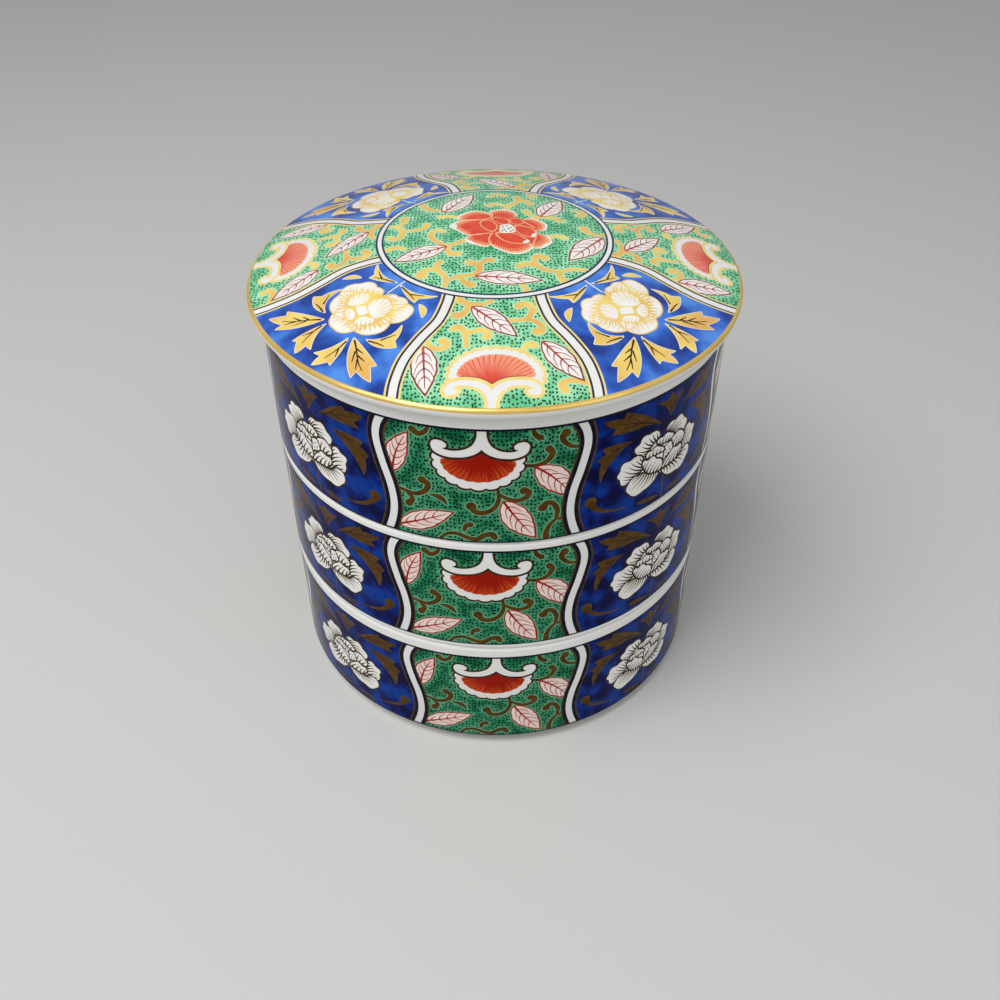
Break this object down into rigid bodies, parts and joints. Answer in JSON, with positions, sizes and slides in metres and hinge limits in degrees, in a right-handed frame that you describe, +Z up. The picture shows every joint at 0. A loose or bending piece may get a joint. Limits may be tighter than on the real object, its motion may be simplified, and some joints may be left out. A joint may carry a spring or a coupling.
{
  "type": "tiered porcelain dish",
  "caption": "Round stacking porcelain box: straight-sided dishes nest rim to foot under an overhanging domed lid, and each piece lifts straight off.",
  "frame": {"origin": "on the ground, under the middle of the bottom tier's foot ring", "axes": "+Z up along the box's turning axis, and the front green panel faces -Y"},
  "size_m": [0.15, 0.15, 0.1539],
  "materials": {
    "bottom_tier": "gloss glaze",
    "middle_tier": "gloss glaze",
    "top_tier": "gloss glaze",
    "lid": "gloss glaze"
  },
  "bodies": {
    "bottom_tier": {"bottom_tier": "bottom_tier"},
    "middle_tier": {"middle_tier": "middle_tier"},
    "top_tier": {"top_tier": "top_tier"},
    "lid": {"lid": "lid"}
  },
  "joints": [
    {"name": "middle_tier_lift", "type": "slide", "parent": "bottom_tier", "child": "middle_tier", "axis": [0, 0, 1], "range_m": [0, 0.06]},
    {"name": "top_tier_lift", "type": "slide", "parent": "middle_tier", "child": "top_tier", "axis": [0, 0, 1], "range_m": [0, 0.06]},
    {"name": "lid_lift", "type": "slide", "parent": "top_tier", "child": "lid", "axis": [0, 0, 1], "range_m": [0, 0.06]}
  ]
}
